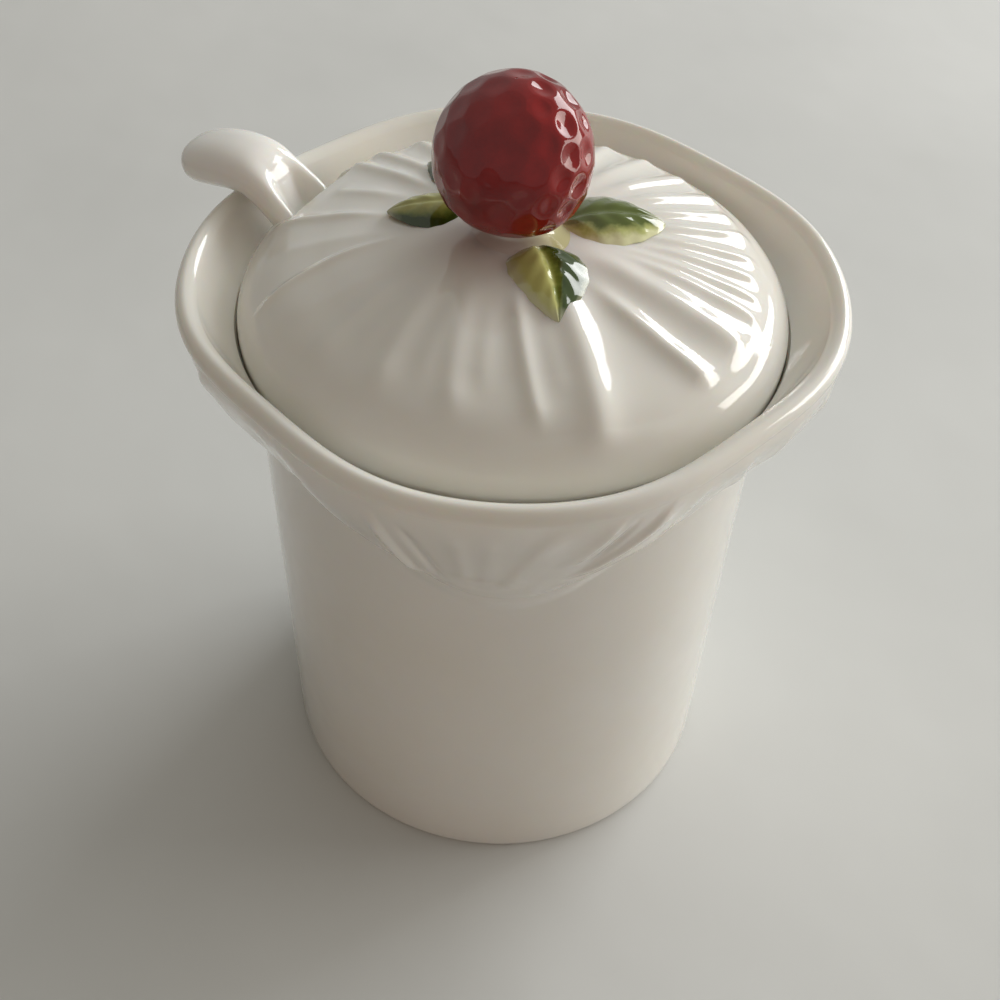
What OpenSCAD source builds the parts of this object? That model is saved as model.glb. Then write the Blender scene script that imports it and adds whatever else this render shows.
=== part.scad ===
// Jam pot with a draped collar, a fluted lid with a berry knob, and a spoon.
// Sizes in mm, +Z up, the foot stands on z = 0 and the front faces -Y.

/* [Pot] */
// outer radius of the straight body
body_radius = 38; // [36:0.5:39]
// wall thickness of the body
wall = 3.6; // [3.2:0.2:4.2]
// thickness of the floor
floor_thickness = 4; // [3:0.5:5]
// height of the rim above the table
rim_height = 96; // [92:1:110]
// rounding at the foot of the body
foot_rounding = 1.2; // [0.6:0.2:2]

/* [Collar] */
// how far the rim stands out of the body at the middle of each lobe
lobe_flare = 9.7; // [9:0.1:12]
// how far it stands out at the dips between the lobes
dip_flare = 6.9; // [6.6:0.1:8]
// how far the lobes hang below the rim
lobe_drop = 27; // [24:1:32]
// how far the collar hangs at the dips
dip_drop = 15; // [13:1:18]
// thickness of the rolled rim
rim_thickness = 3.6; // [3.2:0.1:4]
// how far the lower edge of the collar stands out of the body
collar_edge = 1.2; // [0.8:0.1:1.8]
// depth of the pleats
pleat_depth = 0.6; // [0.2:0.1:0.9]

/* [Lid] */
// width of the ledge that the lid lies on
lid_overlap = 5.2; // [4.6:0.1:5.6]
// room between the lid and the seat wall
lid_gap = 0.8; // [0.6:0.1:1]
// depth of the lid seat below the rim
seat_depth = 8.5; // [8:0.5:9]
// height of the plain edge band of the lid
lid_band = 2.5; // [2:0.1:3]
// rise of the dome above the band
dome_rise = 12.9; // [12:0.1:14]
// thickness of the lid shell
lid_shell = 4; // [3.5:0.1:4.4]
// height of the ring that centres the lid in the mouth
ring_height = 4; // [3:0.5:5]
// thickness of that ring
ring_thickness = 2.6; // [2.2:0.1:3]
// room between that ring and the mouth
ring_gap = 0.6; // [0.4:0.1:0.9]
// depth of the flutes
flute_depth = 0.9; // [0.4:0.1:1.1]
// half width of the spoon notch
notch_half_width = 8.6; // [8.2:0.1:9.2]

/* [Knob] */
// radius of the berry
berry_radius = 10.8; // [10.4:0.1:11.2]
// depth of the dimples
dimple_depth = 0.5; // [0.2:0.1:0.6]
// radius of the flat crown that carries the stalk
crown_radius = 7; // [6.6:0.1:7.4]
// radius of the stalk on the crown
stalk_foot_radius = 6; // [5.6:0.1:6.2]
// radius of the stalk under the berry
stalk_top_radius = 4.4; // [4:0.1:4.6]
// height of the stalk
stalk_height = 2.5; // [2.5:0.1:2.8]
// thickness of the leaves
leaf_thickness = 2.2; // [1.8:0.1:2.4]
// room between a leaf and the lid
leaf_gap = 0.3; // [0.3:0.05:0.4]

/* [Spoon] */
// how far the handle reaches out past the mouth of the body
hook_reach = 20; // [19:0.5:24]
// width of the handle
handle_width = 10.8; // [10:0.2:11.4]
// thickness of the handle at its crest
handle_thickness = 6.5; // [6:0.1:6.6]
// thickness of the shank
shank_thickness = 4.6; // [4.2:0.1:4.8]
// width of the bowl
bowl_width = 19; // [18:0.5:21]
// depth of the bowl from its edge to its underside
bowl_depth = 6.5; // [6:0.25:7]

/* [Hidden] */
lobes = 4;
pleats = 8;
flutes = 20;
flute_turn = 276.6;
columns = 128;
lid_columns = 120;
overrun = wall / 3;
bore_radius = body_radius - wall;
lobe_radius = body_radius + lobe_flare;
dip_radius = body_radius + dip_flare;
lid_radius = bore_radius + lid_overlap;
seat_z = rim_height - seat_depth;
seat_radius = lid_radius + lid_gap;
mid_radius = (lobe_radius + dip_radius) / 2 + (lobe_radius - dip_radius) * 0.1;
sway_radius = (lobe_radius - dip_radius) / 2;
mid_drop = (lobe_drop + dip_drop) / 2;
sway_drop = (lobe_drop - dip_drop) / 2;
band_z = seat_z + lid_band;
crown_z = band_z + dome_rise;
ring_radius = bore_radius - ring_gap;
cavity_radius = ring_radius - ring_thickness;
berry_seat_share = 0.889;
berry_base = berry_radius * berry_seat_share;
berry_z = crown_z + stalk_height + berry_base;
ivory = [0.93, 0.92, 0.87];
leaf_green = [0.35, 0.48, 0.14];
berry_red = [0.55, 0.05, 0.06];
stalk_cream = [0.86, 0.84, 0.68];

function mix(a, b, t) = a + (b - a) * t;
function clip(t) = min(1, max(0, t));
function smooth(t) = clip(t) * clip(t) * (3 - 2 * clip(t));

// closed skin over rings of points: each ring has the same count
function skin(rings) = [for (ring = rings) for (p = ring) p];
function band_faces(m, n, wrap) = [for (j = [0:(wrap ? m - 1 : m - 2)])
    for (i = [0:n - 1]) for (half = [0, 1])
        let (a = j * n + i, b = j * n + (i + 1) % n,
            c = ((j + 1) % m) * n + i, d = ((j + 1) % m) * n + (i + 1) % n)
        half == 0 ? [a, d, b] : [a, c, d]];

// rim and collar

function rim_at(a) = mid_radius + sway_radius * cos(lobes * a)
    - (lobe_radius - dip_radius) * 0.1 * cos(2 * lobes * a);
function drop_at(a) = mid_drop + sway_drop * cos(lobes * a);
function fan_at(u, t) = u - 9 * (1 - t) * sin(lobes * u);
function pleat_at(u, t) = pleat_depth * cos(lobes * pleats * u)
    * (0.55 + 0.45 * cos(lobes * u)) * smooth(4 * t) * smooth(2.6 * (1 - t));
function drape_at(a, t) = 1 - pow(1 - t, 1.75 - 0.6 * cos(lobes * a));

drape_shares = [0, 0.08, 0.2, 0.35, 0.52, 0.7, 0.86];
bead_shares = [[0, 0.5], [0.14, 0.15], [0.5, 0], [0.86, 0.15], [1, 0.5]];

function drape_point(u, t) =
    let (a = fan_at(u, t), z0 = rim_height - drop_at(a),
        z1 = rim_height - rim_thickness / 2,
        r = mix(body_radius + collar_edge, rim_at(a), drape_at(a, t)) - pleat_at(u, t))
    [r * cos(a), r * sin(a), mix(z0, z1, t)];
function collar_root(u, turn) =
    let (a = fan_at(u, 0))
    [(body_radius - wall * 0.35) * cos(a), (body_radius - wall * 0.35) * sin(a),
        rim_height - drop_at(a) - overrun * turn];
function bead_point(u, s) =
    let (r = rim_at(u) - rim_thickness * s[0])
    [r * cos(u), r * sin(u), rim_height - rim_thickness * s[1]];
function flare_point(u, s, z) =
    let (r = mix(seat_radius, rim_at(u) - rim_thickness, s))
    [r * cos(u), r * sin(u), z];
function wall_point(u, r, z) = [r * cos(u), r * sin(u), z];

module collar() {
    turns = [for (i = [0:columns - 1]) 360 * i / columns];
    rings = concat(
        [[for (u = turns) collar_root(u, 0.5)]],
        [for (t = drape_shares) [for (u = turns) drape_point(u, t)]],
        [for (s = bead_shares) [for (u = turns) bead_point(u, s)]],
        [[for (u = turns) flare_point(u, 0.55, mix(seat_z, rim_height, 0.6))],
         [for (u = turns) flare_point(u, 0.1, mix(seat_z, rim_height, 0.34))],
         [for (u = turns) wall_point(u, body_radius - wall * 0.35, seat_z + overrun)]]);
    polyhedron(points = skin(rings), faces = band_faces(len(rings), columns, true),
        convexity = 6);
}

module body_blank() {
    rotate_extrude($fn = 96)
        union() {
            square([body_radius - foot_rounding, seat_z + overrun]);
            translate([0, foot_rounding])
                square([body_radius, seat_z + overrun - foot_rounding]);
            translate([body_radius - foot_rounding, foot_rounding])
                circle(r = foot_rounding, $fn = 32);
        }
}

module pot() {
    color(ivory)
        difference() {
            union() {
                body_blank();
                collar();
            }
            translate([0, 0, floor_thickness])
                cylinder(r = bore_radius, h = rim_height, $fn = 96);
            translate([0, 0, seat_z])
                cylinder(r = seat_radius, h = rim_height, $fn = 96);
        }
}

// lid

dome_shares = [0.3, 0.45, 0.58, 0.7, 0.8, 0.87, 0.92, 0.96, 0.985];

function dome_z(r) = band_z + dome_rise
    * sqrt(max(0, 1 - pow(min(r, lid_radius) / lid_radius, 2.8)))
    / sqrt(1 - pow(crown_radius / lid_radius, 2.8));
function flute_at(a, r) =
    let (s = r / lid_radius)
    flute_depth * abs(sin(flutes * (a - flute_turn) / 2))
    * smooth((s - 0.36) / 0.24) * smooth((0.93 - s) / 0.06);
function dome_point(a, r) = [r * cos(a), r * sin(a), dome_z(r) - flute_at(a, r)];

module dome_blank() {
    turns = [for (i = [0:lid_columns - 1]) flute_turn + 360 * i / lid_columns];
    edge = lid_band * 0.3;
    rings = concat(
        [[for (a = turns) wall_point(a, lid_radius - edge / 2, seat_z + edge)],
         [for (a = turns) wall_point(a, lid_radius, seat_z + 2 * edge)],
         [for (a = turns) wall_point(a, lid_radius, band_z)]],
        [for (i = [len(dome_shares) - 1:-1:0])
            [for (a = turns) dome_point(a, lid_radius * dome_shares[i])]],
        [[for (a = turns) wall_point(a, crown_radius, crown_z)]]);
    n = lid_columns;
    m = len(rings);
    polyhedron(
        points = concat(skin(rings), [[0, 0, seat_z + edge], [0, 0, crown_z]]),
        faces = concat(band_faces(m, n, false),
            [for (i = [0:n - 1]) [m * n, i, (i + 1) % n]],
            [for (i = [0:n - 1]) [m * n + 1, (m - 1) * n + (i + 1) % n, (m - 1) * n + i]]),
        convexity = 6);
}

module lid_rings() {
    rotate_extrude($fn = 96)
        union() {
            square([lid_radius - lid_band * 0.25, lid_band * 0.6]);
            translate([0, -ring_height])
                square([ring_radius, ring_height + lid_band * 0.6]);
        }
}

cavity_shares = [0, 0.25, 0.45, 0.6, 0.72, 0.82, 0.9, 0.96, 1];

module lid_cavity() {
    rotate_extrude($fn = 96)
        polygon(concat(
            [[0, seat_z - ring_height - overrun], [cavity_radius, seat_z - ring_height - overrun]],
            [for (i = [len(cavity_shares) - 1:-1:0])
                let (r = cavity_radius * cavity_shares[i])
                [r, min(dome_z(r), crown_z) - lid_shell
                    - lid_shell * 0.5 * pow(cavity_shares[i], 6)]]));
}

// the notch and the upper spoon are laid out from the corner of the mouth and the seat

notch_turn = 151;
notch_shares = [[-0.295, -1.5], [-0.295, 0.29], [-0.067, 0.94], [-0.067, 4], [0.7, 4], [0.7, -1.5]];

function hook_place(out, up) = [bore_radius + hook_reach * out, seat_z + seat_depth * up];

module spoon_notch() {
    rotate([0, 0, notch_turn])
        translate([0, notch_half_width, 0])
            rotate([90, 0, 0])
                linear_extrude(height = 2 * notch_half_width)
                    polygon([for (s = notch_shares) hook_place(s[0], s[1])]);
}

module lid() {
    color(ivory)
        difference() {
            union() {
                dome_blank();
                translate([0, 0, seat_z])
                    lid_rings();
            }
            lid_cavity();
            spoon_notch();
        }
}

// stalk and berry

module stalk() {
    color(stalk_cream)
        translate([0, 0, crown_z])
            rotate_extrude($fn = 64)
                difference() {
                    square([stalk_foot_radius, stalk_height]);
                    translate([stalk_foot_radius + stalk_height * 0.6, stalk_height])
                        circle(r = stalk_foot_radius + stalk_height * 0.6 - stalk_top_radius,
                            $fn = 48);
                }
}

dimple_rows = 8;
berry_turns = 56;
berry_bands = 24;

function dimple_at(a, t) =
    let (row = t * dimple_rows, k = floor(row),
        count = max(3, round(2.9 * dimple_rows * sin(180 * (k + 0.5) / dimple_rows) * 0.7)),
        across = cos(a * count + (k % 2) * 180), along = sin(180 * (row - k)))
    dimple_depth * pow(clip(across * along), 0.8);

module berry() {
    n = berry_turns;
    low = acos(berry_seat_share);
    rings = [for (j = [0:berry_bands])
        [for (i = [0:n - 1])
            let (t = j / berry_bands, p = mix(180 - low, 360 / berry_bands / 2, t),
                a = 360 * i / n, r = berry_radius - (j == 0 ? 0 : dimple_at(a, t)))
            [r * sin(p) * cos(a), r * sin(p) * sin(a),
                j == 0 ? berry_z - berry_base : berry_z + r * cos(p)]]];
    m = len(rings);
    color(berry_red)
        polyhedron(
            points = concat(skin(rings), [[0, 0, berry_z - berry_base],
                [0, 0, berry_z + berry_radius - dimple_depth / 4]]),
            faces = concat(band_faces(m, n, false),
                [for (i = [0:n - 1]) [m * n, i, (i + 1) % n]],
                [for (i = [0:n - 1])
                    [m * n + 1, (m - 1) * n + (i + 1) % n, (m - 1) * n + i]]),
            convexity = 6);
}

// leaves: each has its base, its tip and its width as shares of the lid radius

leaf_stations = 12;
leaf_around = 16;

function leaf_half_width(t) = pow(sin(180 * pow(t, 0.85)), 0.75);
function leaf_notch(t) = 1 - 0.07 * abs(sin(180 * 5 * t));

module leaf(base_share, tip_share, width_share) {
    base = base_share * lid_radius;
    tip = tip_share * lid_radius;
    way = tip - base;
    side = [-way[1], way[0]] / norm(way);
    half = width_share * lid_radius / 2;
    rings = [for (j = [1:leaf_stations - 1])
        let (t = j / leaf_stations, w = half * leaf_half_width(t) * leaf_notch(t))
        [for (i = [0:leaf_around - 1])
            let (q = -360 * i / leaf_around, s = -cos(q),
                p = base + way * t + side * w * s,
                floor_z = min(crown_z, dome_z(norm(p))) + leaf_gap,
                puff = leaf_thickness * leaf_half_width(t)
                    * (sqrt(max(0, 1 - s * s)) - 0.35 * exp(-pow(s / 0.22, 2))))
            [p[0], p[1], floor_z + leaf_thickness * 0.12
                + (sin(q) < 0 ? -leaf_thickness * 0.12 * sqrt(max(0, 1 - s * s)) : puff)]]];
    n = leaf_around;
    m = len(rings);
    color(leaf_green)
        polyhedron(
            points = concat(skin(rings),
                [[base[0], base[1], min(crown_z, dome_z(norm(base))) + leaf_gap * 1.5],
                 [tip[0], tip[1], min(crown_z, dome_z(norm(tip))) + leaf_gap * 1.5]]),
            faces = concat(band_faces(m, n, false),
                [for (i = [0:n - 1]) [m * n, i, (i + 1) % n]],
                [for (i = [0:n - 1])
                    [m * n + 1, (m - 1) * n + (i + 1) % n, (m - 1) * n + i]]),
            convexity = 6);
}

front_leaf_shares = [[0.1, -0.138], [0.175, -0.506], 0.285];
right_leaf_shares = [[0.178, 0.01], [0.522, 0.095], 0.32];
back_leaf_shares = [[-0.06, 0.195], [-0.345, 0.465], 0.19];
left_leaf_shares = [[-0.178, 0.115], [-0.461, 0.085], 0.25];

module leaf_front() leaf(front_leaf_shares[0], front_leaf_shares[1], front_leaf_shares[2]);
module leaf_right() leaf(right_leaf_shares[0], right_leaf_shares[1], right_leaf_shares[2]);
module leaf_back() leaf(back_leaf_shares[0], back_leaf_shares[1], back_leaf_shares[2]);
module leaf_left() leaf(left_leaf_shares[0], left_leaf_shares[1], left_leaf_shares[2]);

// spoon: stations from the tip of the handle to the tip of the bowl
// each row: reach and height (of the underside on the hook), width, thickness and dish

spoon_turn = 155;
spoon_around = 24;
hook_shares = [
    [1.05, 1.139, 0.34, 0.36, 0], [1.026, 1.048, 0.62, 0.62, 0.03],
    [0.959, 0.995, 0.84, 0.82, 0.06], [0.864, 0.985, 0.96, 0.94, 0.1],
    [0.712, 1.02, 1, 1, 0.14], [0.56, 1.05, 1, 1, 0.16],
    [0.427, 1.03, 1, 0.97, 0.18], [0.313, 0.91, 0.99, 0.92, 0.32],
    [0.199, 0.737, 0.98, 0.86, 0.46], [0.085, 0.528, 0.98, 0.8, 0.46],
    [-0.029, 0.247, 0.97, 0.75, 0.4], [-0.124, -0.006, 0.9, 0.71, 0.26],
    [-0.19, -0.306, 0.8, 0.7, 0.1], [-0.247, -0.728, 0.72, 0.68, 0]];
shank_shares = [
    [0.7, 0.855, 0.64, 0.64, 0], [0.6, 0.724, 0.58, 0.6, 0],
    [0.5, 0.592, 0.55, 0.58, 0], [0.4, 0.461, 0.56, 0.6, 0],
    [0.352, 0.397, 0.64, 0.64, 0]];
bowl_shares = [
    [0.325, 0.362, 0.54, 0.44, 0.05], [0.3, 0.329, 0.72, 0.62, 0.34],
    [0.272, 0.292, 0.88, 0.8, 0.72], [0.245, 0.255, 0.97, 0.93, 0.94],
    [0.22, 0.217, 1, 1, 1], [0.197, 0.18, 0.98, 0.98, 1],
    [0.177, 0.145, 0.9, 0.87, 0.9], [0.16, 0.114, 0.74, 0.68, 0.66],
    [0.147, 0.091, 0.48, 0.42, 0.26]];

function handle_row(place, s) = [place[0], place[1], handle_width * s[2] / 2,
    handle_thickness * s[3] / 2, handle_thickness * s[3] / 2, handle_thickness * s[4], 1.2];
function spoon_rows() = concat(
    [for (s = hook_shares) handle_row(
        hook_place(s[0], s[1]) + [0, handle_thickness * s[3] / 2], s)],
    [for (s = shank_shares) handle_row([body_radius * s[0], seat_z * s[1]], s)],
    [for (s = bowl_shares) [body_radius * s[0], seat_z * s[1],
        bowl_width * s[2] / 2, shank_thickness * (0.12 + 0.3 * (1 - s[4])),
        bowl_depth * s[3], bowl_depth * 0.78 * s[4], 0.65]]);

function spoon_ring(rows, j) =
    let (row = rows[j], a = rows[max(0, j - 1)], b = rows[min(len(rows) - 1, j + 1)],
        way = [b[0] - a[0], b[1] - a[1]] / norm([b[0] - a[0], b[1] - a[1]]),
        up = [-way[1], way[0]])
    [for (i = [0:spoon_around - 1])
        let (q = -360 * i / spoon_around, c = cos(q), s = sin(q),
            across = sign(c) * pow(abs(c), 0.77), rise = sign(s) * pow(abs(s), 0.77),
            dish = row[5] * pow(max(0, 1 - across * across), row[6]),
            h = s > 0 ? dish - row[3] * rise : -row[4] * rise)
        [row[0] + up[0] * h, row[2] * across, row[1] + up[1] * h]];

module spoon() {
    rows = spoon_rows();
    rings = [for (j = [0:len(rows) - 1]) spoon_ring(rows, j)];
    n = spoon_around;
    m = len(rings);
    first = rows[0];
    last = rows[m - 1];
    color(ivory)
        rotate([0, 0, spoon_turn])
            polyhedron(
                points = concat(skin(rings),
                    [[first[0] + handle_thickness * 0.06, 0, first[1]],
                     [last[0] - bowl_depth * 0.15, 0, last[1] - bowl_depth * 0.06]]),
                faces = concat(band_faces(m, n, false),
                    [for (i = [0:n - 1]) [m * n, i, (i + 1) % n]],
                    [for (i = [0:n - 1])
                        [m * n + 1, (m - 1) * n + (i + 1) % n, (m - 1) * n + i]]),
                convexity = 6);
}

pot();
lid();
stalk();
berry();
leaf_front();
leaf_right();
leaf_back();
leaf_left();
spoon();
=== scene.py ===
import math

import bmesh
import bpy
import numpy as np
from mathutils import Matrix


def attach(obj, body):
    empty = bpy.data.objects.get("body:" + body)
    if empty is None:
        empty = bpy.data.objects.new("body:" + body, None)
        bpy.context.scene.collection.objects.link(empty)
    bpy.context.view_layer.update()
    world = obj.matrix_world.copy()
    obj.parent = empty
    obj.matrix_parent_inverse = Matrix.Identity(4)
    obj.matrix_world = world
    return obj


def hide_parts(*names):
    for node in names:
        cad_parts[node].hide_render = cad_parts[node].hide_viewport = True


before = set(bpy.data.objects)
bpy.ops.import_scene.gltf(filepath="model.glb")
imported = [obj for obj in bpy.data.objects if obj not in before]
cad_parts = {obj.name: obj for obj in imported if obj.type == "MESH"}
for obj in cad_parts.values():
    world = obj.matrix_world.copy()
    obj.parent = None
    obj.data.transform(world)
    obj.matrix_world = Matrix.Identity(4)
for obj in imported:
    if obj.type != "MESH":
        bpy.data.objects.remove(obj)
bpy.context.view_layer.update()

MM = 0.001

# sizes of the pot, as in the construction
BODY_R = 38.0 * MM
WALL = 3.6 * MM
FLOOR = 4.0 * MM
RIM_Z = 96.0 * MM
FOOT_ROUND = 1.2 * MM
LOBE_R = BODY_R + 9.7 * MM
DIP_R = BODY_R + 6.9 * MM
LOBE_DROP = 27.0 * MM
DIP_DROP = 15.0 * MM
COLLAR_EDGE = 1.2 * MM
BORE_R = BODY_R - WALL
SEAT_DEPTH = 8.5 * MM
SEAT_Z = RIM_Z - SEAT_DEPTH
LOBES = 4

# sizes of the lid, as in the construction
LID_R = BORE_R + 5.2 * MM
BAND_Z = SEAT_Z + 2.5 * MM
DOME_RISE = 12.9 * MM
CROWN_Z = BAND_Z + DOME_RISE
CROWN_R = 7.0 * MM
SHELL = 4.0 * MM
RING_R = BORE_R - 0.6 * MM
RING_H = 4.0 * MM
CAVITY_R = RING_R - 2.6 * MM
NOTCH_TURN = math.radians(151)
NOTCH_HALF = 8.6 * MM

# sizes of the knob, the leaves and the spoon, as in the construction
BERRY_R = 10.8 * MM
BERRY_SEAT_SHARE = 0.889
STALK_H = 2.5 * MM
STALK_TOP_Z = CROWN_Z + STALK_H
BERRY_Z = STALK_TOP_Z + BERRY_R * BERRY_SEAT_SHARE
STALK_FOOT_R = 6.0 * MM
STALK_TOP_R = 4.4 * MM
LEAF_T = 2.2 * MM
HOOK_REACH = 20.0 * MM
HANDLE_W = 10.8 * MM
HANDLE_T = 6.5 * MM
SHANK_T = 4.6 * MM
BOWL_W = 19.0 * MM
BOWL_D = 6.5 * MM
SPOON_TURN = math.radians(155)

# sizes of the scene alone, closer to the photo than the construction: the rolled rim, the walls
# above and at the seat, how deep stalk and leaves lie in the glaze, and the lean of the berry
LIP_W = 1.4 * MM
LIP_H = 1.8 * MM
SEAT_R = LID_R + 0.4 * MM
LEDGE_R = LID_R + 0.12 * MM
STALK_SINK = 0.12 * MM
LEAF_SINK = 0.15 * MM
BERRY_LEAN = (-0.9 * MM, -0.45 * MM, -0.7 * MM)
# the rings next to a corner stand a few of these distances away from it
SPACE = 0.1 * MM


def mix(a, b, t):
    return a + (b - a) * t


def smooth(t):
    t = np.clip(t, 0, 1)
    return t * t * (3 - 2 * t)


def hump(x, middle, half):
    """A soft hump of height one, fallen to about a third at half from its middle."""
    return np.exp(-((x - middle) / half) ** 2)


def bezier(a, b, c, d, t):
    k = 1 - t
    return k ** 3 * a + 3 * k * k * t * b + 3 * k * t * t * c + t ** 3 * d


def columns(count):
    """Turns of evenly spaced columns, in radians."""
    return np.arange(count) * 2 * math.pi / count


def turn_between(start, end):
    """The short way round from start to end, in radians."""
    return np.angle(np.exp(1j * (end - start)))


# meshes

def mesh_object(name, points, faces):
    mesh = bpy.data.meshes.new(name)
    mesh.from_pydata([tuple(p) for p in points], [], faces)
    mesh.validate()
    mesh.polygons.foreach_set("use_smooth", [True] * len(mesh.polygons))
    obj = bpy.data.objects.new(name, mesh)
    bpy.context.scene.collection.objects.link(obj)
    return obj


def ring_object(name, rings, first, last):
    """A closed skin over rings of points, with a fan to the first and the last point."""
    rings = np.asarray(rings, float)
    m, n = rings.shape[:2]
    points = np.vstack([rings.reshape(-1, 3), first, last])
    i = np.arange(n)
    k = (i + 1) % n
    faces = []
    for j in range(m - 1):
        faces += np.stack([j * n + i, j * n + k, (j + 1) * n + k, (j + 1) * n + i], 1).tolist()
    faces += np.stack([np.full(n, m * n), k, i], 1).tolist()
    faces += np.stack([np.full(n, m * n + 1), (m - 1) * n + i, (m - 1) * n + k], 1).tolist()
    obj = mesh_object(name, points, faces)
    face_out(obj)
    return obj


def face_out(obj):
    bm = bmesh.new()
    bm.from_mesh(obj.data)
    bmesh.ops.recalc_face_normals(bm, faces=bm.faces)
    bm.to_mesh(obj.data)
    bm.free()


def polar(radius, turn, height):
    radius, turn, height = np.broadcast_arrays(radius, turn, height)
    return np.stack([radius * np.cos(turn), radius * np.sin(turn), height], -1)


def arc(centre, radius, start, end, count):
    """Points (r, z) on a round edge, angles in degrees."""
    q = np.radians(np.linspace(start, end, count))
    return [(centre[0] + radius * math.cos(a), centre[1] + radius * math.sin(a)) for a in q]


def line(a, b, count):
    return [(mix(a[0], b[0], t), mix(a[1], b[1], t)) for t in np.linspace(0, 1, count)]


# pot

POT_COLUMNS = 1080
BODY_ROWS, HEM_ROWS, COLLAR_ROWS = 60, 14, 100
LIP_ROWS, RIM_ROWS, FLARE_ROWS = 20, 16, 44
AXIS_R = 2 * MM
# the rim's wave is squared off by this share of its step, and fuller in the back half
RIM_SQUARE_SHARE = 0.1
BACK_FULLER = 0.6 * MM
# turn by which the pleats lean sideways at the collar's lower edge
FAN_TURN = math.radians(9)
# how fast the collar flares out below the rim: mean power and its change round the lobes
DRAPE_POWER, DRAPE_SWAY = 1.65, 0.6

# folds of the collar, seen round the front lobe in degrees from its middle: the place at the
# heights HIGH_PLACE and LOW_PLACE, then height and half widths of both flanks in mm, then bottom
# and top in mm
HIGH_PLACE, LOW_PLACE = 92, 78
FOLDS = [
    (-20.5, -16.0, 0.75, 1.2, 0.5, 74, 91), (-16.2, -11.8, -0.4, 0.5, 0.9, 74, 90),
    (-7.5, -6.5, 0.22, 1.2, 1.2, 74, 91), (-1.0, -2.5, 0.18, 1.2, 1.2, 73, 90),
    (8.0, 2.0, 0.4, 1.3, 1.9, 73, 92.5), (17.0, 9.0, 0.5, 1.5, 0.5, 81, 92.5),
    (20.0, 12.0, -0.42, 0.5, 0.5, 82, 92), (25.5, 12.5, 0.7, 0.8, 1.8, 77, 93),
    (36.0, 28.0, -0.3, 2.0, 2.0, 80, 92), (43.0, 50.0, 0.35, 2.0, 1.6, 79, 92),
    (-33.0, -28.0, 0.2, 2.2, 2.2, 77, 91)]
# length in mm over which a fold rises and ends, how far it ends past its top, and the length of a
# degree round the collar
FOLD_EASE, FOLD_OVER = 5, 1.5
MM_PER_DEGREE = 0.74
# the other lobes: their folds' share of the height, then least half width in mm, and the random
# shift in degrees and growth
FRONT_LOBE, LEFT_LOBE = 3, 2
SIDE_SHARE, LEFT_SHARE = 0.85, 0.55
SIDE_HALF, SIDE_SHIFT, SIDE_GROWTH = 1.2, 2, (0.8, 1.1)
FOLD_SEED = 3

# the collar's lower edge: middle and half width in degrees of its sharp stretches, in the dips and
# at the front right, and of the one that melts into the body, then how sharp the rest is, how
# much is lost where it melts and what always stays
HEM_DIP, HEM_FRONT, HEM_MELT = (45, 17), (305, 16), (241, 8)
HEM_SOFT_SHARE, HEM_MELT_SHARE, HEM_LEAST_SHARE = 0.25, 0.8, 0.05
# values for a soft and a sharp edge: how far below it the body swells, and its step
HEM_BELOW = (3.4 * MM, 1.5 * MM)
HEM_STEP = (0.25 * COLLAR_EDGE, 0.75 * COLLAR_EDGE)
HEM_ABOVE = 0.5 * MM
# bead above the edge and hollow over it: size, then middle and half width as shares of the collar,
# and the share of the collar over which the edge's step becomes even
HEM_BEAD, BEAD_AT = 0.25 * MM, (0.12, 0.13)
HEM_HOLLOW, HOLLOW_AT = 0.6 * MM, (0.55, 0.24)
EDGE_FADE_SHARE = 0.4

# rolled rim: where it starts, how far the collar lies behind it in general and round one turn in
# degrees, then how far its back runs in and falls, as the four values of a curve
LIP_FOOT, LIP_START = 2.4 * MM, -14
UNDER_LIP, UNDER_AT = (0.08 * MM, 0.5 * MM), (212, 18)
RIM_BACK = (LIP_W, 1.9 * MM, 2.9 * MM, 3.2 * MM)
RIM_FALL = (0, 0, 0.6 * MM, 1.4 * MM)
# flare inside the rim down to the seat's wall, with heights above the seat
FLARE_IN, FLARE_DOWN, FLARE_FOOT = 0.7 * MM, 1.3 * MM, 3.4 * MM
SEAT_WALL_TOP, STEP_TOP, STEP_FOOT = 2.6 * MM, 2.1 * MM, 1.8 * MM
SEAT_CORNER = 0.5 * MM
FLOOR_ROUND = 3 * MM


def rim_radius(a):
    step = LOBE_R - DIP_R
    fuller = BACK_FULLER * np.where(np.sin(a) > 0, np.sin(2 * a) ** 2, 0)
    square = RIM_SQUARE_SHARE * (1 - np.cos(2 * LOBES * a))
    return (LOBE_R + DIP_R) / 2 + step * (0.5 * np.cos(LOBES * a) + square) + fuller


def collar_drop(a):
    return (LOBE_DROP + DIP_DROP) / 2 + (LOBE_DROP - DIP_DROP) / 2 * np.cos(LOBES * a)


def fan(u, t):
    """Pleats fan out from the bottom of each lobe."""
    return u - FAN_TURN * (1 - t) * np.sin(LOBES * u)


def drape(a, t):
    return 1 - (1 - t) ** (DRAPE_POWER - DRAPE_SWAY * np.cos(LOBES * a))


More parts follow.
